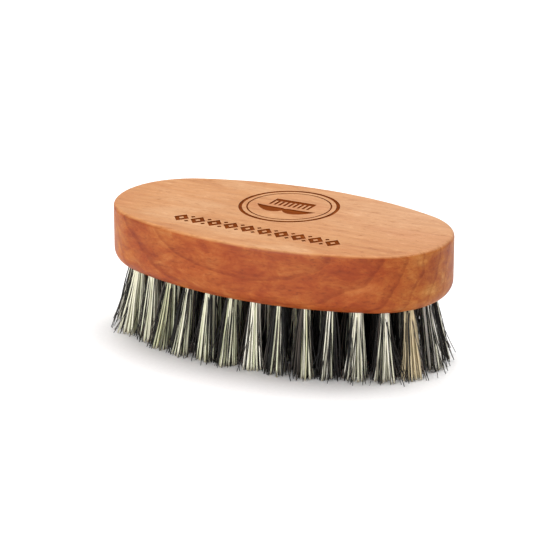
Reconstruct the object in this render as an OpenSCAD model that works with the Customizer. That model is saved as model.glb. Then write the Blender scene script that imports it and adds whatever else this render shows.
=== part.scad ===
// Beard brush: an oval wooden block with staple-set bristle tufts.
// Millimetres. +Z is up, +X runs along the block, and the brush stands on its
// bristle tips, with the origin at the middle of the tips' plane.

/* [Block] */
// Length of the oval block
block_l = 110; // [100:1:120]
// Width of the oval block
block_w = 60; // [58:1:64]
// Thickness of the block
block_t = 18.7; // [16:0.1:22]
// Radius of the outline's two end arcs
end_r = 23.75; // [23:0.25:25]
// Rounding of the edge round the top face
top_round = 1.2; // [0.8:0.1:4]
// Rounding of the edge round the underside
bottom_round = 4.6; // [2:0.1:4.8]

/* [Bristles] */
// Height of the whole brush, from the tips to the top face
brush_h = 40; // [36:0.5:44]
// Diameter of a drilled hole, and of the tuft where it leaves the wood
hole_d = 3.2; // [2.6:0.1:3.4]
// Depth of a hole along its axis
hole_depth = 11; // [8:0.5:12]
// Diameter of a tuft where it is trimmed flat
tip_d = 6.2; // [4.5:0.1:6.4]

/* [Layout] */
// Tufts in the outer ring
outer_n = 30; // [26:2:30]
// Tufts in the second ring
second_n = 22; // [18:2:22]
// Tufts in the inner ring
inner_n = 16; // [12:2:16]
// Tufts in the centre row
row_n = 5; // [3:2:5]
// Distance from the outline to the outer ring
outer_inset = 6.6; // [6.6:0.1:7]
// Distance from one ring to the next
ring_gap = 7.6; // [7.4:0.1:7.8]
// Distance between the tufts of the centre row
row_pitch = 8; // [7.5:0.1:8]
// Outward lean of the outer ring's tufts at the sides
side_lean = 7.5; // [4:0.5:9]
// Outward lean of the outer ring's tufts at the ends
end_lean = 9.5; // [8:0.5:15]

/* [Anchors] */
// Length of the flat wire anchor across its hole
anchor_l = 4.4; // [3.8:0.1:5]
// Height of the anchor along the hole
anchor_h = 1.6; // [1.2:0.1:2]
// Thickness of the anchor
anchor_t = 0.4; // [0.3:0.05:0.5]
// Bristle folded under the anchor, at the closed end of the hole
fold_h = 1.5; // [1:0.1:2]

/* [Engraving] */
// Depth of the burnt engraving in the top face
cut_depth = 0.25; // [0.2:0.05:0.6]
// Outer diameter of the medallion
medallion_d = 31; // [29:0.5:32]
// Distance of the medallion's middle from the short axis, towards +X
medallion_x = -2; // [-6:0.5:6]
// Distance of the medallion's middle from the long axis, towards +Y
medallion_y = 9; // [7:0.5:9.5]
// Distance of the ornament band from the long axis, towards -Y
band_y = 15.8; // [15:0.1:18]
// Length of the ornament band
band_l = 56; // [44:1:58]

/* [Hidden] */
$fn = 96;
half_l = block_l / 2;
half_w = block_w / 2;
under_z = brush_h - block_t;

// The outline is four tangent arcs: two end arcs centred on the X axis at
// end_cx, and two side arcs centred on the Y axis at side_cy. They meet on the
// lines through an end arc's centre and a side arc's, at join_a from the X axis.
side_r = (half_l * half_l + half_w * half_w - 2 * half_l * end_r) / (2 * (half_w - end_r));
end_cx = half_l - end_r;
side_cy = side_r - half_w;
join_a = atan2(side_cy, end_cx);
// The side sectors reach past the long axis by this much, so they overlap.
sector_overlap = 8;
// Margin that carries a cutting solid clear of the face it cuts.
past = 1;

// Each ring is [inset from the outline, number of tufts, share of the lean].
outer_ring = [outer_inset, outer_n, 1];
second_ring = [outer_inset + ring_gap, second_n, 0.66];
inner_ring = [outer_inset + 2 * ring_gap, inner_n, 0.33];

// Parts of the engraving
rule_w = 1.1;
hairline_w = 0.5;
rule_gap = 1.3;
comb_l = 13.6;
comb_spine = 2;
comb_teeth = 9;
tooth_w = 0.8;
tooth_l = 3.8;
comb_y = 3.2;
// The moustache: half its length, how much its middle line bends, the share of
// that half at which the line is lowest, the factor of its half height, and how
// much height it keeps between its lobes.
whisker_l = 10;
whisker_bend = 6.5;
whisker_low = 0.35;
whisker_fat = 5.2;
whisker_waist = 0.03;
whisker_steps = 24;
whisker_y = -4.6;
lozenge_n = 10;
lozenge_w = 5;
lozenge_h = 6.4;
// Share of a lozenge's width and height that its opening takes.
opening = 0.34;
stud_w = 1.6;
stud_y = 2.1;

wood_colour = [0.78, 0.5, 0.31];
tuft_colour = [0.62, 0.6, 0.5];
anchor_colour = [0.72, 0.72, 0.7];

function numbered(base, i) = str(base, i < 10 ? "_0" : "_", i);

// ---------------------------------------------------------------- layout

// Length of one quarter of the outline, inset by this much: the end arc's
// share, and the side arc's share.
function end_run(inset) = (end_r - inset) * join_a * PI / 180;
function side_run(inset) = (side_r - inset) * (90 - join_a) * PI / 180;

// [x, y, outward direction] on the first quarter of the inset outline, at the
// distance v along it from the long axis.
function quarter_spot(inset, v) =
    v <= end_run(inset)
    ? let (a = v / (end_r - inset) * 180 / PI)
        [end_cx + (end_r - inset) * cos(a), (end_r - inset) * sin(a), a]
    : let (a = join_a + (v - end_run(inset)) / (side_r - inset) * 180 / PI)
        [(side_r - inset) * cos(a), (side_r - inset) * sin(a) - side_cy, a];

// The same for the whole outline, where quarters 1 and 3 run backwards.
function outline_spot(inset, u) =
    let (run = end_run(inset) + side_run(inset))
    let (k = floor(u / run))
    let (v = u - k * run)
    let (p = quarter_spot(inset, k % 2 == 0 ? v : run - v))
    k == 0 ? p
    : k == 1 ? [-p[0], p[1], 180 - p[2]]
    : k == 2 ? [-p[0], -p[1], 180 + p[2]]
    : [p[0], -p[1], -p[2]];

// Tuft i of a ring, counted from 1 at the +X end.
function ring_spot(ring, i) =
    outline_spot(ring[0], (i - 1) * 4 * (end_run(ring[0]) + side_run(ring[0])) / ring[1]);

// Lean of a tuft: most at the ends, least at the sides.
function ring_lean(ring, direction) =
    ring[2] * (side_lean + (end_lean - side_lean) * pow(cos(direction), 2));

// Carries a child, drawn with +Z out of the hole's mouth, to a tuft's place.
module at_ring(ring, i) {
    spot = ring_spot(ring, i);
    translate([spot[0], spot[1], under_z])
        rotate([0, 0, spot[2]])
            rotate([0, 180 - ring_lean(ring, spot[2]), 0])
                children();
}

module at_row(i) {
    translate([(i - (row_n + 1) / 2) * row_pitch, 0, under_z])
        rotate([180, 0, 0])
            children();
}

// ---------------------------------------------------------------- block

// Half section of the block from the radius r_in to its edge at the radius r,
// with the edge's two roundings.
module rounded_section(r_in, r) {
    difference() {
        translate([r_in, 0])
            square([r - r_in, block_t]);
        difference() {
            translate([r - bottom_round, -past])
                square([bottom_round + past, bottom_round + past]);
            translate([r - bottom_round, bottom_round])
                circle(r = bottom_round);
        }
        difference() {
            translate([r - top_round, block_t - top_round])
                square([top_round + past, top_round + past]);
            translate([r - top_round, block_t - top_round])
                circle(r = top_round);
        }
    }
}

// A round disc or ring of the block's section, kept where it lies in a wedge.
module sector(centre, r_in, r, wedge) {
    translate([0, 0, under_z])
        intersection() {
            translate(centre)
                rotate_extrude()
                    rounded_section(r_in, r);
            linear_extrude(block_t)
                polygon(wedge);
        }
}

// The wedges share the lines on which the arcs meet.
module end_sector() {
    sector([end_cx, 0], 0, end_r, [
        [end_cx, 0],
        [2 * end_cx, -side_cy],
        [block_l, -side_cy],
        [block_l, side_cy],
        [2 * end_cx, side_cy]
    ]);
}

module side_sector() {
    sector([0, -side_cy], side_cy - sector_overlap, side_r, [
        [0, -side_cy],
        [2 * end_cx, side_cy],
        [-2 * end_cx, side_cy]
    ]);
}

module block_solid() {
    end_sector();
    side_sector();
    rotate([0, 0, 180]) {
        end_sector();
        side_sector();
    }
}

// A blind hole, with the slots that the anchor's ends bite into.
module hole() {
    translate([0, 0, -hole_depth])
        cylinder(d = hole_d, h = hole_depth + past);
    anchor();
}

// ---------------------------------------------------------------- engraving

module disc_ring(d, w) {
    difference() {
        circle(d = d);
        circle(d = d - 2 * w);
    }
}

// A point of the moustache's upper or lower edge, at the share t of its half
// length, from -1 at one tip to 1 at the other.
function whisker_edge(t, side) =
    let (middle = whisker_bend * pow(abs(t) - whisker_low, 2))
    let (half = whisker_fat * sqrt(abs(t) + whisker_waist) * pow(1 - abs(t), 0.9))
    [whisker_l * t, middle + side * half];

module moustache() {
    polygon(concat(
        [for (i = [-whisker_steps:whisker_steps]) whisker_edge(i / whisker_steps, 1)],
        [for (i = [1 - whisker_steps:whisker_steps - 1]) whisker_edge(-i / whisker_steps, -1)]
    ));
}

module comb() {
    translate([-comb_l / 2, 0])
        square([comb_l, comb_spine]);
    for (i = [0:comb_teeth - 1])
        translate([(comb_l - tooth_w) * (i / (comb_teeth - 1) - 0.5) - tooth_w / 2, -tooth_l])
            square([tooth_w, tooth_l + comb_spine / 2]);
}

module medallion() {
    disc_ring(medallion_d, rule_w);
    disc_ring(medallion_d - 2 * (rule_w + rule_gap), hairline_w);
    translate([0, whisker_y])
        moustache();
    translate([0, comb_y])
        comb();
}

module lozenge(w, h) {
    polygon([[-w / 2, 0], [0, -h / 2], [w / 2, 0], [0, h / 2]]);
}

module open_lozenge() {
    difference() {
        lozenge(lozenge_w, lozenge_h);
        lozenge(lozenge_w * opening, lozenge_h * opening);
    }
}

module ornament_band() {
    pitch = (band_l - lozenge_w) / (lozenge_n - 1);
    for (i = [0:lozenge_n - 1])
        translate([(i - (lozenge_n - 1) / 2) * pitch, 0])
            open_lozenge();
    for (i = [0:lozenge_n - 2])
        for (y = [-stud_y, stud_y])
            translate([(i + 1 - lozenge_n / 2) * pitch, y])
                lozenge(stud_w, stud_w);
}

module engraving() {
    translate([0, 0, brush_h - cut_depth])
        linear_extrude(cut_depth + past) {
            translate([medallion_x, medallion_y])
                medallion();
            translate([0, -band_y])
                ornament_band();
        }
}

module wood_block() {
    color(wood_colour)
        difference() {
            block_solid();
            for (ring = [outer_ring, second_ring, inner_ring])
                for (i = [1:ring[1]])
                    at_ring(ring, i)
                        hole();
            for (i = [1:row_n])
                at_row(i)
                    hole();
            engraving();
        }
}

// ---------------------------------------------------------------- tufts

// Length of a tuft past the mouth of its hole, before it is trimmed flat.
free_l = under_z + 3;

// A bundle folded round its anchor: straight in the hole, flared outside it.
module tuft_body() {
    difference() {
        union() {
            translate([0, 0, -hole_depth])
                cylinder(d = hole_d, h = hole_depth);
            cylinder(d1 = hole_d, d2 = hole_d + (tip_d - hole_d) * free_l / under_z, h = free_l);
        }
        anchor();
    }
}

// Everything under the tips' plane, which trims the tufts level.
module trimmed() {
    difference() {
        children();
        translate([-block_l, -block_l, -block_l])
            cube([2 * block_l, 2 * block_l, block_l]);
    }
}

module ring_tuft(ring, i) {
    color(tuft_colour)
        trimmed()
            at_ring(ring, i)
                tuft_body();
}

module row_tuft(i) {
    color(tuft_colour)
        trimmed()
            at_row(i)
                tuft_body();
}

module inner_ring_tufts() {
    for (i = [1:inner_n])
        ring_tuft(inner_ring, i);
}

module centre_row_tufts() {
    for (i = [1:row_n])
        row_tuft(i);
}

// ---------------------------------------------------------------- anchors

// A piece of flat wire across the hole, which holds the fold of the tuft.
module anchor() {
    translate([-anchor_t / 2, -anchor_l / 2, fold_h - hole_depth])
        cube([anchor_t, anchor_l, anchor_h]);
}

module ring_anchors(ring) {
    color(anchor_colour)
        for (i = [1:ring[1]])
            at_ring(ring, i)
                anchor();
}

module centre_row_anchors() {
    color(anchor_colour)
        for (i = [1:row_n])
            at_row(i)
                anchor();
}

// ---------------------------------------------------------------- nodes

wood_block();
for (i = [1:outer_n])
    ring_tuft(outer_ring, i);
for (i = [1:second_n])
    ring_tuft(second_ring, i);
inner_ring_tufts();
centre_row_tufts();
ring_anchors(outer_ring);  // outer_ring_anchors
ring_anchors(second_ring);  // second_ring_anchors
ring_anchors(inner_ring);  // inner_ring_anchors
centre_row_anchors();
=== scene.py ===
import math
from typing import NamedTuple

import bmesh
import bpy
import numpy as np
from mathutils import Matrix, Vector


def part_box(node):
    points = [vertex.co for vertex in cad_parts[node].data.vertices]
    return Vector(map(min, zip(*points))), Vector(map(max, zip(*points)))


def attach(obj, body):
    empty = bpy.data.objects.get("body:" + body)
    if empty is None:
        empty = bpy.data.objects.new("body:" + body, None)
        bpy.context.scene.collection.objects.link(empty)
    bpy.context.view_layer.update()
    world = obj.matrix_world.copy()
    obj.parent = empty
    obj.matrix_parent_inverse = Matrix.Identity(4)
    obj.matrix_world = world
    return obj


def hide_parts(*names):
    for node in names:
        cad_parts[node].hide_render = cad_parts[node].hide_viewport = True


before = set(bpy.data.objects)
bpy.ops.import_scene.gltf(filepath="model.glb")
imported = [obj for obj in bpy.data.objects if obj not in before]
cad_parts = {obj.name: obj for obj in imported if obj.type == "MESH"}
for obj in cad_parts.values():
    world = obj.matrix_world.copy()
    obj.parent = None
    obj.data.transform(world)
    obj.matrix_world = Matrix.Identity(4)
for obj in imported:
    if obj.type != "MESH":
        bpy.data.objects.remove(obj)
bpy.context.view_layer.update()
MM = 0.001
# Vertices closer than this are one.
WELD = 0.001 * MM

# ------------------------------------------------------------ dimensions
# The block's place and overall size come from the frame.
block_low, block_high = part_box("wood_block")
HALF_L = block_high.x
HALF_W = block_high.y
TOP_Z = block_high.z
UNDER_Z = block_low.z

# The outline's end arcs, and the roundings of the two edges.
END_R = 23.75 * MM
TOP_ROUND = 1.2 * MM
BOTTOM_ROUND = 4.6 * MM

# Four tangent arcs: two end arcs and two side arcs, which meet at JOIN_A.
SIDE_R = (HALF_L**2 + HALF_W**2 - 2 * HALF_L * END_R) / (2 * (HALF_W - END_R))
END_CX = HALF_L - END_R
SIDE_CY = SIDE_R - HALF_W
JOIN_A = math.atan2(SIDE_CY, END_CX)

# Holes and tufts. FOLD_H is the height of the bristles' fold over the bottom of the hole, and TIP_R
# the radius of a tuft at its trimmed end.
HOLE_R = 1.6 * MM
HOLE_DEPTH = 11 * MM
FOLD_H = 1.5 * MM
TIP_R = 3.1 * MM

# Engraving in the top face: a medallion of two rings with a comb over a moustache, and a band of
# lozenges with studs between them. OPENING is a lozenge's opening as a share of its size.
CUT_DEPTH = 0.25 * MM
MEDALLION_R = 15.5 * MM
MEDALLION_AT = (-2 * MM, 9 * MM)
RULE_W = 1.1 * MM
HAIRLINE_W = 0.5 * MM
RULE_GAP = 1.3 * MM
COMB_L = 13.6 * MM
COMB_SPINE = 2 * MM
COMB_TEETH = 9
COMB_Y = 3.2 * MM
TOOTH_W = 0.8 * MM
TOOTH_L = 3.8 * MM
WHISKER_Y = -4.6 * MM
WHISKER_L = 10 * MM
WHISKER_BEND = 6.5 * MM
WHISKER_LOW = 0.35
WHISKER_FAT = 5.2 * MM
WHISKER_WAIST = 0.03
WHISKER_TAPER = 0.9
WHISKER_STEPS = 24
BAND_Y = -15.8 * MM
BAND_L = 56 * MM
LOZENGES = 10
LOZENGE_W = 5 * MM
LOZENGE_H = 6.4 * MM
OPENING = 0.34
STUD_W = 1.6 * MM
STUD_Y = 2.1 * MM


# ------------------------------------------------------------ node helpers
class Nodes:
    """A material's node tree, with short calls for the nodes used here."""

    def __init__(self, name):
        self.material = bpy.data.materials.new(name)
        self.material.use_nodes = True
        self.tree = self.material.node_tree
        self.shader = self.tree.nodes["Principled BSDF"]

    def new(self, kind, **settings):
        node = self.tree.nodes.new(kind)
        for key, value in settings.items():
            setattr(node, key, value)
        return node

    def link(self, source, target):
        self.tree.links.new(source, target)

    def set_input(self, node, key, value):
        if isinstance(value, bpy.types.NodeSocket):
            self.link(value, node.inputs[key])
        else:
            node.inputs[key].default_value = value

    def object_place(self):
        """Places in the object's own axes, in metres."""
        return self.new("ShaderNodeTexCoord").outputs["Object"]

    def axes(self, vector):
        node = self.new("ShaderNodeSeparateXYZ")
        self.link(vector, node.inputs[0])
        return node.outputs

    def math(self, operation, a, b=0.0):
        node = self.new("ShaderNodeMath", operation=operation)
        self.set_input(node, 0, a)
        self.set_input(node, 1, b)
        return node.outputs[0]

    def place(self, where, scale, shift):
        """The coordinates in where, scaled and shifted along each axis."""
        node = self.new("ShaderNodeMapping")
        self.link(where, node.inputs["Vector"])
        node.inputs["Scale"].default_value = scale
        node.inputs["Location"].default_value = shift
        return node.outputs[0]

    def noise(self, where, scale, detail, roughness, distortion=0.0, shift=(0, 0, 0)):
        """Noise with about scale features to the metre along each axis."""
        node = self.new("ShaderNodeTexNoise")
        self.link(self.place(where, scale, shift), node.inputs["Vector"])
        node.inputs["Scale"].default_value = 1.0
        node.inputs["Detail"].default_value = detail
        node.inputs["Roughness"].default_value = roughness
        node.inputs["Distortion"].default_value = distortion
        return node.outputs["Fac"]

    def ramp(self, value, stops):
        node = self.new("ShaderNodeValToRGB")
        self.link(value, node.inputs["Fac"])
        elements = node.color_ramp.elements
        while len(elements) < len(stops):
            elements.new(0.5)
        for element, (position, colour) in zip(elements, stops, strict=True):
            element.position = position
            element.color = (*colour, 1.0)
        return node.outputs["Color"]

    def level(self, value, low, high):
        """value, brought from low..high to 0..1 and clamped."""
        node = self.new("ShaderNodeMapRange")
        self.link(value, node.inputs["Value"])
        node.inputs["From Min"].default_value = low
        node.inputs["From Max"].default_value = high
        return node.outputs["Result"]

    def mix(self, blend, factor, a, b):
        node = self.new("ShaderNodeMix", data_type="RGBA", blend_type=blend)
        self.set_input(node, 0, factor)
        for index, value in ((6, a), (7, b)):
            if isinstance(value, bpy.types.NodeSocket):
                self.link(value, node.inputs[index])
            else:
                node.inputs[index].default_value = (*value, 1.0)
        return node.outputs[2]

    def bump(self, height, strength, distance, normal=None):
        node = self.new("ShaderNodeBump")
        self.link(height, node.inputs["Height"])
        node.inputs["Strength"].default_value = strength
        node.inputs["Distance"].default_value = distance
        if normal is not None:
            self.link(normal, node.inputs["Normal"])
        return node.outputs["Normal"]


# ------------------------------------------------------------ wood
def grey(value):
    return (value, value, value)


# Colour ramps, as stops of position and colour. A tint multiplies the colour under it.
PLAIN = grey(1.0)
EDGE_GRAIN = (
    (0.28, (0.188, 0.026, 0.003)),
    (0.44, (0.248, 0.044, 0.006)),
    (0.56, (0.292, 0.065, 0.010)),
    (0.72, (0.360, 0.110, 0.026)),
)
FACE_GRAIN = (
    (0.34, (0.415, 0.158, 0.052)),
    (0.50, (0.455, 0.203, 0.074)),
    (0.66, (0.490, 0.250, 0.112)),
)
BURNT_GRAIN = (
    (0.25, (0.105, 0.019, 0.001)),
    (0.55, (0.175, 0.036, 0.003)),
    (0.80, (0.280, 0.070, 0.009)),
)
PATCH_TINT = ((0.36, (0.88, 0.72, 0.60)), (0.50, (0.99, 0.98, 0.98)), (0.66, (1.08, 1.26, 1.40)))
STREAK_TINT = ((0.30, (0.84, 0.78, 0.70)), (0.50, PLAIN), (0.70, (1.09, 1.14, 1.24)))
DASH_TINT = ((0.30, (0.72, 0.60, 0.46)), (0.44, PLAIN), (0.57, PLAIN), (0.68, (1.16, 1.28, 1.46)))
PORE_TINT = ((0.30, (0.62, 0.52, 0.42)), (0.43, PLAIN), (0.60, PLAIN), (0.74, (1.22, 1.34, 1.6)))
RING_TINT = ((0.0, grey(1.03)), (0.80, grey(0.96)), (0.93, (0.72, 0.55, 0.40)), (1.0, (0.82, 0.72, 0.62)))
CHAR_TINT = ((0.3, grey(0.7)), (0.6, grey(1.1)))

# Painted highlight: the side and underside are painted lighter towards the block's two ends, for the sheen of
# grazing light there. It begins this far from its middle point along X, to either side, and is full a little
# further.
PAINTED_END_HIGHLIGHT_MID = 3 * MM
PAINTED_END_HIGHLIGHT_FROM, PAINTED_END_HIGHLIGHT_FULL = 41 * MM, 53 * MM
PAINTED_END_HIGHLIGHT_TINT = (1.36, 1.85, 1.75)

# The top face turns paler towards +X and +Y: partly the wood's own colour, and partly painted light, for the
# top being lit more brightly towards its right and back.
PALE_X = (-20 * MM, 35 * MM)
PALE_Y = (-20 * MM, 20 * MM)
PALE_FACE_WOOD_AND_LIGHT = (0.500, 0.268, 0.140)
PALE_SHARE = 0.7


def wood_layers(nodes):
    """The grain of both wood materials, along X: streaks, short dashes, pores and broad figure."""
    where = nodes.object_place()
    streaks = nodes.noise(where, (38, 480, 600), 6.0, 0.62, 0.35)
    dashes = nodes.noise(where, (230, 620, 900), 4.0, 0.7, 0.3)
    pores = nodes.noise(where, (420, 1900, 1900), 4.0, 0.7)
    figure = nodes.noise(where, (100, 110, 190), 6.0, 0.7, 0.6)
    return where, streaks, dashes, pores, figure


def edge_colour(nodes, where, figure):
    """The dark, red grain of the side and underside, in patches, with a painted highlight that makes it
    lighter at the block's two ends.
    """
    patches = nodes.noise(where, (55, 70, 75), 3.0, 0.55, 0.8, (3.9, 8.2, 1.3))
    grain = nodes.ramp(figure, EDGE_GRAIN)
    grain = nodes.mix("MULTIPLY", 1.0, grain, nodes.ramp(patches, PATCH_TINT))
    # Painted highlight: the colour turns lighter towards the block's two ends, for the sheen of grazing light
    # there.
    off_middle = nodes.math("ABSOLUTE", nodes.math("SUBTRACT", nodes.axes(where)["X"], PAINTED_END_HIGHLIGHT_MID))
    at_end = nodes.level(off_middle, PAINTED_END_HIGHLIGHT_FROM, PAINTED_END_HIGHLIGHT_FULL)
    return nodes.mix("MULTIPLY", at_end, grain, PAINTED_END_HIGHLIGHT_TINT)


def face_colour(nodes, where):
    """The light grain of the top face, in soft clouds, turning paler towards its right and back, partly from
    painted light.
    """
    clouds = nodes.noise(where, (24, 60, 45), 3.0, 0.55, 0.4)
    axes = nodes.axes(where)
    # Partly painted light: paler towards the right and back of the top face, where it is lit more brightly,
    # and partly the wood's own paler colour there.
    paler = nodes.math("MULTIPLY", nodes.level(axes["X"], *PALE_X), nodes.level(axes["Y"], *PALE_Y))
    share = nodes.math("MULTIPLY", paler, PALE_SHARE)
    return nodes.mix("MIX", share, nodes.ramp(clouds, FACE_GRAIN), PALE_FACE_WOOD_AND_LIGHT)


def growth_rings(nodes, where):
    """A tint in rings round an axis along X, which runs in front of the block and above it."""
    rings = nodes.new("ShaderNodeTexWave", wave_type="RINGS", rings_direction="X", wave_profile="SAW")
    nodes.link(nodes.place(where, (9, 60, 60), (0, 5.4, -3.6)), rings.inputs["Vector"])
    rings.inputs["Scale"].default_value = 1.0
    rings.inputs["Distortion"].default_value = 7.0
    rings.inputs["Detail"].default_value = 4.0
    rings.inputs["Detail Scale"].default_value = 0.8
    return nodes.ramp(rings.outputs["Fac"], RING_TINT)


def wood_material():
    nodes = Nodes("oiled_pear_wood")
    where, streaks, dashes, pores, figure = wood_layers(nodes)
    normal_z = nodes.axes(nodes.new("ShaderNodeTexCoord").outputs["Normal"])["Z"]
    face_up = nodes.level(normal_z, 0.35, 0.85)
    colour = nodes.mix("MIX", face_up, edge_colour(nodes, where, figure), face_colour(nodes, where))
    layers = ((0.85, streaks, STREAK_TINT), (0.9, dashes, DASH_TINT), (0.8, pores, PORE_TINT))
    for share, layer, tint in layers:
        colour = nodes.mix("MULTIPLY", share, colour, nodes.ramp(layer, tint))
    # The rings show strongly on the side, and faintly on the top face.
    ring_share = nodes.math("SUBTRACT", 0.70, nodes.math("MULTIPLY", face_up, 0.58))
    colour = nodes.mix("MULTIPLY", ring_share, colour, growth_rings(nodes, where))

    shader = nodes.shader
    nodes.link(colour, shader.inputs["Base Color"])
    rough = nodes.math("ADD", nodes.math("MULTIPLY", streaks, 0.22), nodes.math("MULTIPLY", pores, 0.16))
    nodes.link(nodes.math("ADD", rough, 0.30), shader.inputs["Roughness"])
    shader.inputs["Specular IOR Level"].default_value = 0.2
    normal = nodes.bump(pores, 0.45, 0.07 * MM)
    normal = nodes.bump(dashes, 0.4, 0.12 * MM, normal)
    normal = nodes.bump(streaks, 0.3, 0.15 * MM, normal)
    nodes.link(normal, shader.inputs["Normal"])
    return nodes.material


def burnt_material():
    nodes = Nodes("burnt_wood")
    _, streaks, _, pores, figure = wood_layers(nodes)
    colour = nodes.ramp(streaks, BURNT_GRAIN)
    colour = nodes.mix("MULTIPLY", 0.6, colour, nodes.ramp(pores, CHAR_TINT))
    nodes.link(colour, nodes.shader.inputs["Base Color"])
    rough = nodes.math("ADD", nodes.math("MULTIPLY", figure, 0.2), 0.65)
    nodes.link(rough, nodes.shader.inputs["Roughness"])
    nodes.shader.inputs["Specular IOR Level"].default_value = 0.03
    nodes.link(nodes.bump(pores, 0.5, 0.1 * MM), nodes.shader.inputs["Normal"])
    return nodes.material


# ------------------------------------------------------------ bristle
# A fibre's colours, from tone 0 to tone 1. Tone 0 of the pale fibre is straw.
PALE_TONES = (
    (0.00, (0.56, 0.46, 0.28)),
    (0.08, (0.58, 0.54, 0.32)),
    (0.20, (0.56, 0.58, 0.38)),
    (0.45, (0.70, 0.685, 0.52)),
    (0.70, (0.78, 0.75, 0.63)),
    (1.00, (0.84, 0.81, 0.74)),
)
DARK_TONES = (
    (0.00, (0.003, 0.0025, 0.002)),
    (0.60, (0.008, 0.006, 0.005)),
    (0.82, (0.025, 0.019, 0.015)),
    (1.00, (0.120, 0.095, 0.075)),
)
FLECK_TINT = ((0.3, grey(0.70)), (0.7, grey(1.15)))
DRAWN_STEEL = ((0.3, (0.48, 0.48, 0.46)), (0.7, (0.66, 0.66, 0.64)))


def fibre_material(name, tones, tip, roughness, gloss):
    """A fibre's colour goes by its own tone, is flecked along its length, and turns to tip at the cut end."""
    nodes = Nodes(name)
    tone = nodes.new("ShaderNodeAttribute", attribute_name="tone").outputs["Fac"]
    free = nodes.new("ShaderNodeAttribute", attribute_name="free").outputs["Fac"]
    fleck = nodes.noise(nodes.object_place(), (900, 900, 260), 3.0, 0.6)
    colour = nodes.mix("MULTIPLY", 0.6, nodes.ramp(tone, tones), nodes.ramp(fleck, FLECK_TINT))
    at_tip = nodes.level(nodes.math("ADD", free, nodes.math("MULTIPLY", fleck, 0.08)), 0.98, 1.04)
    shader = nodes.shader
    nodes.link(nodes.mix("MIX", at_tip, colour, tip), shader.inputs["Base Color"])
    rough = nodes.math("ADD", nodes.math("MULTIPLY", fleck, 0.25), roughness - 0.12)
    nodes.link(rough, shader.inputs["Roughness"])
    shader.inputs["Specular IOR Level"].default_value = gloss
    nodes.link(nodes.bump(fleck, 0.4, 0.04 * MM), shader.inputs["Normal"])
    return nodes.material


def steel_material():
    nodes = Nodes("anchor_wire_steel")
    drawn = nodes.noise(nodes.object_place(), (3000, 3000, 500), 3.0, 0.6)
    nodes.link(nodes.ramp(drawn, DRAWN_STEEL), nodes.shader.inputs["Base Color"])
    nodes.shader.inputs["Metallic"].default_value = 1.0
    rough = nodes.math("ADD", nodes.math("MULTIPLY", drawn, 0.3), 0.2)
    nodes.link(rough, nodes.shader.inputs["Roughness"])
    nodes.link(nodes.bump(drawn, 0.3, 0.03 * MM), nodes.shader.inputs["Normal"])
    return nodes.material


# ------------------------------------------------------------ block
ARC_STEPS = 26
ROUND_STEPS = 9
CIRCLE_STEPS = 96
HOLE_SIDES = 24
# A narrow flat band beside each rounding keeps its shading smooth.
SUPPORT = 0.4 * MM
# How far the hole cutters stand out of the wood.
CUTTER_OUT = 1 * MM
# Edges sharper than this are shaded as edges.
SHARP = math.radians(30)


def outline_angles():
    """Outward directions round the whole outline, in ARC_STEPS steps on each half of an arc."""
    quarter = [JOIN_A * i / ARC_STEPS for i in range(ARC_STEPS)]
    quarter += [JOIN_A + (math.pi / 2 - JOIN_A) * i / ARC_STEPS for i in range(ARC_STEPS)]
    mirrored = [math.pi - a for a in reversed(quarter[1:])]
    half = quarter + [math.pi / 2] + mirrored
    return half + [a + math.pi for a in half]


def outline_point(direction, inset):
    x, y = math.cos(direction), math.sin(direction)
    if abs(y) * END_CX <= abs(x) * SIDE_CY:
        centre, radius = (math.copysign(END_CX, x), 0.0), END_R
    else:
        centre, radius = (0.0, -math.copysign(SIDE_CY, y)), SIDE_R
    return centre[0] + (radius - inset) * x, centre[1] + (radius - inset) * y


def edge_profile():
    """(inset, height) pairs from the flat underside, up the side, to the flat top."""
    profile = [(BOTTOM_ROUND + SUPPORT, UNDER_Z)]
    for i in range(ROUND_STEPS + 1):
        a = math.pi / 2 * i / ROUND_STEPS
        profile.append((BOTTOM_ROUND * (1 - math.sin(a)), UNDER_Z + BOTTOM_ROUND * (1 - math.cos(a))))
    for i in range(ROUND_STEPS + 1):
        a = math.pi / 2 * i / ROUND_STEPS
        profile.append((TOP_ROUND * (1 - math.cos(a)), TOP_Z - TOP_ROUND * (1 - math.sin(a))))
    profile.append((TOP_ROUND + SUPPORT, TOP_Z))
    return profile


def mesh_object(name, verts, faces):
    mesh = bpy.data.meshes.new(name)
    mesh.from_pydata(verts, [], faces)
    mesh.update()
    obj = bpy.data.objects.new(name, mesh)
    bpy.context.scene.collection.objects.link(obj)
    return obj


def block_mesh():
    angles = outline_angles()
    n = len(angles)
    verts = []
    for inset, height in edge_profile():
        verts += [(*outline_point(a, inset), height) for a in angles]
    levels = len(verts) // n
    faces = [
        (k * n + i, k * n + (i + 1) % n, (k + 1) * n + (i + 1) % n, (k + 1) * n + i)
        for k in range(levels - 1)
        for i in range(n)
    ]
    faces.append(tuple(reversed(range(n))))
    faces.append(tuple(range((levels - 1) * n, levels * n)))
    return mesh_object("oval_block", verts, faces)


def circle_points(centre, radius):
    turns = [2 * math.pi * i / CIRCLE_STEPS for i in range(CIRCLE_STEPS)]
    return [(centre[0] + radius * math.cos(a), centre[1] + radius * math.sin(a)) for a in turns]


def shifted(points, dx, dy):
    return [(x + dx, y + dy) for x, y in points]


def moustache_points():
    def edge(t, side):
        middle = WHISKER_BEND * (abs(t) - WHISKER_LOW) ** 2
        half = WHISKER_FAT * math.sqrt(abs(t) + WHISKER_WAIST) * (1 - abs(t)) ** WHISKER_TAPER
        return WHISKER_L * t, middle + side * half

    shares = [i / WHISKER_STEPS for i in range(-WHISKER_STEPS, WHISKER_STEPS + 1)]
    return [edge(t, 1) for t in shares] + [edge(-t, -1) for t in shares[1:-1]]


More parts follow.
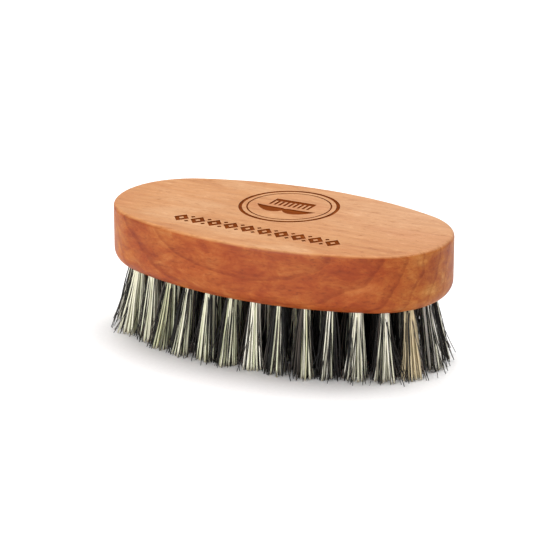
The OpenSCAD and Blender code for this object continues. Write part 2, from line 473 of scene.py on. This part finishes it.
def comb_points():
    """A comb's outline: down its left end, along the teeth from left to right, and up to its back."""
    points = [(-COMB_L / 2, COMB_SPINE), (-COMB_L / 2, -TOOTH_L)]
    pitch = (COMB_L - TOOTH_W) / (COMB_TEETH - 1)
    for i in range(COMB_TEETH):
        left = -COMB_L / 2 + i * pitch
        if i:
            points += [(left, 0.0), (left, -TOOTH_L)]
        points += [(left + TOOTH_W, -TOOTH_L)]
        if i < COMB_TEETH - 1:
            points += [(left + TOOTH_W, 0.0)]
    return points + [(COMB_L / 2, COMB_SPINE)]


def lozenge_points(w, h):
    return [(-w / 2, 0.0), (0.0, -h / 2), (w / 2, 0.0), (0.0, h / 2)]


def engraving_outlines():
    mx, my = MEDALLION_AT
    inner_r = MEDALLION_R - RULE_W - RULE_GAP
    rings = (MEDALLION_R, MEDALLION_R - RULE_W, inner_r, inner_r - HAIRLINE_W)
    outlines = [circle_points((mx, my), r) for r in rings]
    outlines.append(shifted(moustache_points(), mx, my + WHISKER_Y))
    outlines.append(shifted(comb_points(), mx, my + COMB_Y))
    pitch = (BAND_L - LOZENGE_W) / (LOZENGES - 1)
    for i in range(LOZENGES):
        x = (i - (LOZENGES - 1) / 2) * pitch
        for share in (1, OPENING):
            lozenge = lozenge_points(LOZENGE_W * share, LOZENGE_H * share)
            outlines.append(shifted(lozenge, x, BAND_Y))
        if i:
            for y in (-STUD_Y, STUD_Y):
                outlines.append(shifted(lozenge_points(STUD_W, STUD_W), x - pitch / 2, BAND_Y + y))
    return outlines


def engraving_cutter():
    """The engraving as a solid through the top face. Nested outlines leave their middles uncut."""
    curve = bpy.data.curves.new("engraving_cutter", "CURVE")
    curve.dimensions = "2D"
    curve.fill_mode = "BOTH"
    curve.extrude = CUT_DEPTH
    for points in engraving_outlines():
        spline = curve.splines.new("POLY")
        spline.points.add(len(points) - 1)
        for point, (x, y) in zip(spline.points, points, strict=True):
            point.co = (x, y, 0.0, 1.0)
        spline.use_cyclic_u = True
    obj = bpy.data.objects.new("engraving_cutter", curve)
    obj.location.z = TOP_Z
    bpy.context.scene.collection.objects.link(obj)
    mesh = evaluated_mesh(obj)
    mesh.transform(obj.matrix_world)
    bpy.data.objects.remove(obj)
    work = bmesh.new()
    work.from_mesh(mesh)
    bmesh.ops.remove_doubles(work, verts=work.verts, dist=WELD)
    bmesh.ops.recalc_face_normals(work, faces=work.faces)
    work.to_mesh(mesh)
    work.free()
    cutter = bpy.data.objects.new("engraving_cutter", mesh)
    bpy.context.scene.collection.objects.link(cutter)
    return cutter


def hole_cutter(spots):
    verts, faces = [], []
    n = HOLE_SIDES
    turns = [2 * math.pi * i / n for i in range(n)]
    for spot in spots:
        base = len(verts)
        for s in (-HOLE_DEPTH, CUTTER_OUT):
            middle = spot["mouth"] + spot["w"] * s
            for a in turns:
                side = spot["u"] * (HOLE_R * math.cos(a)) + spot["v"] * (HOLE_R * math.sin(a))
                verts.append(tuple(middle + side))
        for i in range(n):
            j = (i + 1) % n
            faces.append((base + i, base + j, base + n + j, base + n + i))
        faces.append(tuple(base + i for i in reversed(range(n))))
        faces.append(tuple(base + n + i for i in range(n)))
    return mesh_object("hole_cutter", verts, faces)


def evaluated_mesh(obj):
    """A new mesh of the object as its curve or modifiers make it."""
    bpy.context.view_layer.update()
    return bpy.data.meshes.new_from_object(obj.evaluated_get(bpy.context.evaluated_depsgraph_get()))


def cut(obj, cutter):
    modifier = obj.modifiers.new("cut", "BOOLEAN")
    modifier.operation = "DIFFERENCE"
    modifier.solver = "EXACT"
    modifier.material_mode = "TRANSFER"
    modifier.object = cutter
    mesh = evaluated_mesh(obj)
    obj.modifiers.clear()
    obj.data = mesh
    bpy.data.objects.remove(cutter)


def wood_block(spots):
    block = block_mesh()
    block.data.materials.append(wood_material())
    engraving = engraving_cutter()
    engraving.data.materials.append(burnt_material())
    cut(block, engraving)
    holes = hole_cutter(spots)
    holes.data.materials.append(block.data.materials[0])
    cut(block, holes)
    block.data.shade_smooth()
    block.data.set_sharp_from_angle(angle=SHARP)
    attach(block, "root")
    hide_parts("wood_block")


# ------------------------------------------------------------ tufts
# A bristle is a hairpin: two free legs, and between them the part in the hole. Its fold takes up at
# most FOLD_FILL of the height left for it.
FREE_STEPS = 7
FOLD_STEPS = 4
FOLD_FILL = 0.9
SIDES = 5

# A CAD tuft's trimmed end and its root are found from the points this close to z = 0 and to its
# furthest point. A tuft that leans less than UPRIGHT stands straight.
TRIM_BAND = 0.02 * MM
ROOT_BAND = 0.7 * MM
UPRIGHT = 0.02

# Places tried for the bristles in half a hole, and the room left beside the hole's wall.
FIRST_PLACE, LAST_PLACE, PLACE_STEP = 0.3, 1.5, 0.075
WALL_ROOM = 0.15 * MM
PLACE_JITTER = 0.02 * MM
# How strongly the pale bristles keep together, and where, across the tuft, in mm: mean and spread.
GATHER = 0.12
GATHER_AT = (-0.4, 0.35)

# How much a tuft flares from its hole to its tips, which run a little past the CAD tuft's. Then the
# spread of the shift of a tuft's tips, and of the clumps that they stick together in.
FLARE = 1.12 * TIP_R / HOLE_R
TUFT_DRIFT = 0.45 * MM
CLUMP_SHIFT = 0.7 * MM
CLUMPS = 3
# A black bristle is thinner at its tip.
TIP_SHARE = 0.8


class Run(NamedTuple):
    """How one kind of bristle runs out to its tip."""

    radius: tuple  # least and most, in mm
    flare: np.ndarray  # along u and v, over the tuft's own flare
    follow: float  # share of its clump's shift
    scatter: float  # spread of the single tips
    cut_z: tuple  # least and most height of the cut end, in mm
    bend: float  # spread of the sideways bow
    power: tuple  # over 1, the leg leaves the hole straight and flares late


PALE_RUN = Run(
    radius=(0.19, 0.29),
    flare=np.array((1.0, 1.0)),
    follow=0.7,
    scatter=0.34 * MM,
    cut_z=(0.05, 0.6),
    bend=0.12 * MM,
    power=(1.15, 1.5),
)
DARK_RUN = Run(
    radius=(0.125, 0.165),
    flare=np.array((1.13, 1.3)),
    follow=0.5,
    scatter=0.5 * MM,
    cut_z=(0.03, 0.55),
    bend=0.2 * MM,
    power=(0.65, 1.0),
)

# A stray black bristle leans further out by so much, and aside with this spread, both in mm.
STRAY_OUT = (0.4, 3.4)
STRAY_ASIDE = 2.2
STRAY_BEND = 2
STRAY_POWER = (1.3, 2.2)
# How likely a black leg is to be a stray one.
STRAY_AT_END, STRAY_OUTER, STRAY_INSIDE = 0.30, 0.14, 0.03

# Hairpins in a tuft: the pale ones from the first number up to, not including, the second. An outer
# tuft past LEFT_END or RIGHT_END, as shares of the block's half length, has some more.
OUTER_PALE = (7, 17)
INSIDE_PALE = (6, 11)
LEFT_END, LEFT_MORE = -0.4, 4
RIGHT_END, RIGHT_MORE = 0.6, 3
DARK_HAIRPINS = 30
END_HAIRPINS = 23
# Each pale hairpin past this count takes the place of a black one.
FREE_PALE = 9

# The pale fibres' tone rises from the left end to the right one, and differs by tuft and by fibre.
TONE_MID, TONE_RISE = 0.52, 0.22
TUFT_SPREAD = 0.16
FIBRE_SPREAD = 0.15
# The tones under this one are left to straw.
MIN_TONE = 0.14
# One tuft near the front right corner has straw-coloured fibres.
STRAW_TUFT = "outer_tuft_30"
SEED = 4000


def islands(mesh):
    """The separate solids of a node's mesh, each as an array of its vertices."""
    work = bmesh.new()
    work.from_mesh(mesh)
    bmesh.ops.remove_doubles(work, verts=work.verts, dist=WELD)
    work.verts.ensure_lookup_table()
    seen, found = set(), []
    for start in work.verts:
        if start.index in seen:
            continue
        stack, members = [start], []
        seen.add(start.index)
        while stack:
            vert = stack.pop()
            members.append(tuple(vert.co))
            for edge in vert.link_edges:
                other = edge.other_vert(vert)
                if other.index not in seen:
                    seen.add(other.index)
                    stack.append(other)
        found.append(np.array(members))
    work.free()
    return sorted(found, key=lambda m: tuple(m.mean(0).round(5)))


def tuft_spot(points):
    """A tuft's place from its CAD solid: its hole's mouth, its axis w, and u outwards and v across."""
    tip = points[points[:, 2] < TRIM_BAND].mean(0)
    reach = np.linalg.norm(points - tip, axis=1)
    bottom = points[reach > reach.max() - ROOT_BAND].mean(0)
    w = (tip - bottom) / np.linalg.norm(tip - bottom)
    mouth = bottom + w * (UNDER_Z - bottom[2]) / w[2]
    flat = np.array((w[0], w[1], 0.0))
    outward = flat if np.linalg.norm(flat) > UPRIGHT else np.array((1.0, 0.0, 0.0))
    v = np.cross(w, outward)
    v /= np.linalg.norm(v)
    return {"mouth": mouth, "w": w, "u": np.cross(v, w), "v": v}


def packed_half(radii, gathered, middle, rng):
    """Places in the half disc u > 0 for bristles of these radii, the first ones round v = middle.

    Each takes the place, of many tried, where it overlaps the earlier ones least.
    """
    steps = np.arange(FIRST_PLACE, LAST_PLACE, PLACE_STEP) * MM
    u, v = np.meshgrid(steps, np.concatenate([-steps[::-1], [0.0], steps]))
    tries = np.stack([u.ravel(), v.ravel()], 1)
    tries = tries[np.hypot(*tries.T) < HOLE_R - WALL_ROOM]
    places = []
    for k, radius in enumerate(radii):
        room = np.zeros(len(tries))
        if places:
            gaps = np.linalg.norm(tries[:, None] - np.array(places)[None], axis=2)
            room = (gaps - (radii[:k] + radius)).min(1)
        score = np.minimum(room, 0.0) + rng.normal(0, PLACE_JITTER, len(tries))
        if k < gathered:
            score -= GATHER * np.abs(tries[:, 1] - middle)
        places.append(tries[score.argmax()])
    return np.array(places)


def tube_mesh(paths, radii, across):
    """Vertices and faces of closed tubes along paths (count, rings, 3), none of which runs along across."""
    count, rings, _ = paths.shape
    tangent = np.gradient(paths, axis=1)
    tangent /= np.linalg.norm(tangent, axis=2, keepdims=True)
    first = across - (tangent @ across)[..., None] * tangent
    first /= np.linalg.norm(first, axis=2, keepdims=True)
    second = np.cross(tangent, first)
    turn = np.arange(SIDES) * 2 * math.pi / SIDES
    circle = first[:, :, None] * np.cos(turn)[:, None] + second[:, :, None] * np.sin(turn)[:, None]
    verts = (paths[:, :, None] + circle * radii[:, :, None, None]).reshape(-1, 3)
    base = (np.arange(count) * rings * SIDES)[:, None, None]
    ring = base + (np.arange(rings - 1) * SIDES)[:, None]
    i = np.arange(SIDES)
    j = (i + 1) % SIDES
    quads = np.stack([ring + i, ring + j, ring + SIDES + j, ring + SIDES + i], -1).reshape(-1, 4)
    caps = []
    for start in range(0, count * rings * SIDES, rings * SIDES):
        caps.append((start + i[::-1]).tolist())
        caps.append((start + (rings - 1) * SIDES + i).tolist())
    return verts.tolist(), quads.tolist() + caps


def free_leg(spot, root, tip, bend, cut_z, power):
    """Points from the mouth to the tip, in u, v and distance out of the hole."""
    length = (spot["mouth"][2] + spot["u"][2] * tip[0] - cut_z) / -spot["w"][2]
    t = np.linspace(0, 1, FREE_STEPS + 1)[1:]
    spread = t**power
    arch = np.sin(math.pi * t)
    u, v = (root[k] + (tip[k] - root[k]) * spread + bend[k] * arch for k in (0, 1))
    return np.stack([u, v, length * t], 1)


def random_leg(spot, root, run, drift, lump, strays, rng):
    """One free leg, placed by chance. A black one strays with the chance strays."""
    tip = root * FLARE * run.flare + drift + lump * run.follow + rng.normal(0, run.scatter, 2)
    cut_z = rng.uniform(*run.cut_z) * MM
    bend = rng.normal(0, run.bend, 2)
    power = rng.uniform(*run.power)
    if run is DARK_RUN and rng.random() < strays:
        tip = tip + np.array((rng.uniform(*STRAY_OUT), rng.normal(0, STRAY_ASIDE))) * MM
        bend = bend * STRAY_BEND
        power = rng.uniform(*STRAY_POWER)
    return free_leg(spot, root, tip, bend, cut_z, power)


def hairpin(root, legs):
    """One bristle: in along one leg, round the fold under the anchor, and out along the other."""
    depth = HOLE_DEPTH - FOLD_H
    u, v = root
    drop = min(u, FOLD_H * FOLD_FILL)
    turns = np.linspace(0, math.pi, FOLD_STEPS + 1)[1:-1]
    fold = [(u * math.cos(a), v, -depth - drop * math.sin(a)) for a in turns]
    inside = [(u, v, 0.0), (u, v, -depth / 2), (u, v, -depth)]
    back = [(-u, v, -depth), (-u, v, -depth / 2), (-u, v, 0.0)]
    return np.vstack([legs[0][::-1], inside, fold, back, legs[1]])


def tuft_bristles(spot, rng, pale_count, dark_count, strays):
    """A tuft's hairpins, pale ones first: paths in u, v and w (count, points, 3), and their radii."""
    count = pale_count + dark_count
    pale = np.arange(count) < pale_count
    thick = np.where(pale, rng.uniform(*PALE_RUN.radius, count), rng.uniform(*DARK_RUN.radius, count)) * MM
    roots = packed_half(thick, pale_count, rng.normal(*GATHER_AT) * MM, rng)
    drift = rng.normal(0, TUFT_DRIFT, 2)
    clumps = rng.normal(0, CLUMP_SHIFT, (2, CLUMPS, 2))
    paths = []
    for k, root in enumerate(roots):
        run = PALE_RUN if pale[k] else DARK_RUN
        legs = []
        for half, sign in enumerate((1, -1)):
            start = np.array((root[0] * sign, root[1]))
            lump = clumps[half][rng.integers(CLUMPS)]
            legs.append(random_leg(spot, start, run, drift, lump, strays, rng))
        paths.append(hairpin(root, legs))
    paths = np.array(paths)
    radii = np.repeat(thick[:, None], paths.shape[1], 1)
    taper = np.linspace(1, TIP_SHARE, FREE_STEPS)
    radii[~pale, :FREE_STEPS] *= taper[::-1]
    radii[~pale, -FREE_STEPS:] *= taper
    return paths, radii


def tuft(name, node, spot, rng, pale_tones, dark_count, strays):
    """One tuft as hairpin bristles, with the thick pale fibres gathered among the black bristles."""
    pale_count = len(pale_tones)
    tones = np.concatenate([pale_tones, rng.random(dark_count)])
    paths, radii = tuft_bristles(spot, rng, pale_count, dark_count, strays)
    count, rings, _ = paths.shape
    u, v, w = (paths[..., k : k + 1] * spot[axis] for k, axis in enumerate("uvw"))
    obj = mesh_object(name, *tube_mesh(spot["mouth"] + u + v + w, radii, spot["v"]))
    mesh = obj.data
    free = np.zeros(rings)
    free[:FREE_STEPS] = np.linspace(1, 1 / FREE_STEPS, FREE_STEPS)
    free[-FREE_STEPS:] = free[:FREE_STEPS][::-1]
    for label, value in (
        ("tone", np.repeat(tones, rings * SIDES)),
        ("free", np.tile(np.repeat(free, SIDES), count)),
    ):
        attribute = mesh.attributes.new(label, "FLOAT", "POINT")
        attribute.data.foreach_set("value", value.astype(np.float32))
    mesh.materials.append(PALE)
    mesh.materials.append(DARK)
    kinds = np.repeat((0, 1), (pale_count, dark_count))
    faces = np.concatenate([np.repeat(kinds, (rings - 1) * SIDES), np.repeat(kinds, 2)])
    mesh.polygons.foreach_set("material_index", faces.astype(np.int32))
    mesh.shade_smooth()
    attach(obj, "root")
    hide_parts(node)


PALE = fibre_material("pale_plant_fibre", PALE_TONES, (0.36, 0.32, 0.23), 0.5, 0.4)
DARK = fibre_material("black_boar_bristle", DARK_TONES, (0.006, 0.005, 0.004), 0.45, 0.25)


def tuft_nodes():
    """Every tuft solid as (piece name, node, place), in the nodes' own order."""
    found = []
    for node in sorted(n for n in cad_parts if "tuft" in n):
        solids = islands(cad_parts[node].data)
        for i, points in enumerate(solids, 1):
            name = node + "_bristles"
            if len(solids) > 1:
                name = node.replace("_tufts", "") + f"_bristles_{i:02d}"
            found.append((name, node, tuft_spot(points)))
    return found


def all_tufts():
    found = tuft_nodes()
    for number, (name, node, spot) in enumerate(found):
        rng = np.random.default_rng(SEED + number)
        outer = node.startswith("outer")
        along = spot["mouth"][0] / HALF_L
        at_end = outer and abs(spot["mouth"][0]) > END_CX
        pale_count = int(rng.integers(*(OUTER_PALE if outer else INSIDE_PALE)))
        pale_count += LEFT_MORE * int(outer and along < LEFT_END)
        pale_count += RIGHT_MORE * int(outer and along > RIGHT_END)
        dark_count = (END_HAIRPINS if at_end else DARK_HAIRPINS) - max(0, pale_count - FREE_PALE)
        strays = STRAY_AT_END if at_end else STRAY_OUTER if outer else STRAY_INSIDE
        middle = TONE_MID + TONE_RISE * along + rng.normal(0, TUFT_SPREAD)
        tones = np.clip(rng.normal(middle, FIBRE_SPREAD, pale_count), MIN_TONE, 1)
        if node == STRAW_TUFT:
            tones = np.zeros(pale_count)
        tuft(name, node, spot, rng, tones, dark_count, strays)
    return [spot for _, _, spot in found]


def anchors():
    steel = steel_material()
    for name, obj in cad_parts.items():
        if name.endswith("_anchors"):
            obj.data.materials.clear()
            obj.data.materials.append(steel)


# ------------------------------------------------------------ stage
FLOOR_HALF = 0.6
LIGHT_AIM = (0, 0, 0.02)
# The white room's brightness at the horizon and straight above.
HORIZON, ZENITH = 1.0, 0.15
PAPER = ((0.3, grey(0.90)), (0.7, grey(0.93)))


def floor():
    nodes = Nodes("white_paper")
    paper = nodes.noise(nodes.object_place(), (900, 900, 900), 2.0, 0.5)
    nodes.link(nodes.ramp(paper, PAPER), nodes.shader.inputs["Base Color"])
    nodes.shader.inputs["Roughness"].default_value = 0.9
    nodes.shader.inputs["Specular IOR Level"].default_value = 0.1
    corners = [(FLOOR_HALF * x, FLOOR_HALF * y, 0) for x, y in ((-1, -1), (1, -1), (1, 1), (-1, 1))]
    sheet = mesh_object("floor", corners, [(0, 1, 2, 3)])
    sheet.data.materials.append(nodes.material)


def area_light(name, place, size, power):
    """A rectangular light, aimed at the middle of the brush."""
    data = bpy.data.lights.new(name, "AREA")
    data.shape = "RECTANGLE"
    data.size, data.size_y = size
    data.energy = power
    light = bpy.data.objects.new(name, data)
    light.location = place
    light.rotation_mode = "QUATERNION"
    light.rotation_quaternion = (Vector(LIGHT_AIM) - Vector(place)).to_track_quat("-Z", "Y")
    bpy.context.scene.collection.objects.link(light)


def lighting():
    """A white room, brightest at the horizon, with a big softbox overhead, a little behind the brush,
    and a small low one in front.
    """
    world = bpy.data.worlds.new("white_room")
    world.use_nodes = True
    tree = world.node_tree
    up = tree.nodes.new("ShaderNodeSeparateXYZ")
    tree.links.new(tree.nodes.new("ShaderNodeTexCoord").outputs["Generated"], up.inputs[0])
    fall = tree.nodes.new("ShaderNodeMapRange")
    tree.links.new(up.outputs["Z"], fall.inputs["Value"])
    fall.inputs["To Min"].default_value = HORIZON
    fall.inputs["To Max"].default_value = ZENITH
    background = tree.nodes["Background"]
    background.inputs["Color"].default_value = (1, 1, 1, 1)
    tree.links.new(fall.outputs["Result"], background.inputs["Strength"])
    bpy.context.scene.world = world
    area_light("overhead", (0.0, 0.225, 0.8), (0.9, 0.55), 9.0)
    area_light("front", (-0.15, -1.0, 0.26), (0.4, 0.3), 8.0)


CAMERA_AZIMUTH = 28.06
CAMERA_ELEVATION = 18.18
CAMERA_DISTANCE = 803.5 * MM
CAMERA_LENS = 173.0
# From the middle of the top face.
CAMERA_AIM = (-0.96 * MM, -0.51 * MM, -19.85 * MM)


def camera():
    """The camera stands off the middle of the top face, and looks a little below it."""
    a, e = math.radians(CAMERA_AZIMUTH), math.radians(CAMERA_ELEVATION)
    back = Vector((math.sin(a) * math.cos(e), -math.cos(a) * math.cos(e), math.sin(e)))
    data = bpy.data.cameras.new("camera")
    data.lens = CAMERA_LENS
    data.sensor_width = 36.0
    obj = bpy.data.objects.new("camera", data)
    obj.location = Vector((0, 0, TOP_Z)) + back * CAMERA_DISTANCE
    aim = Vector((0, 0, TOP_Z)) + Vector(CAMERA_AIM)
    obj.rotation_mode = "QUATERNION"
    obj.rotation_quaternion = (aim - obj.location).to_track_quat("-Z", "Y")
    bpy.context.scene.collection.objects.link(obj)
    bpy.context.scene.camera = obj


camera()
lighting()
floor()
wood_block(all_tufts())
anchors()
bpy.context.scene.view_settings.view_transform = "Standard"
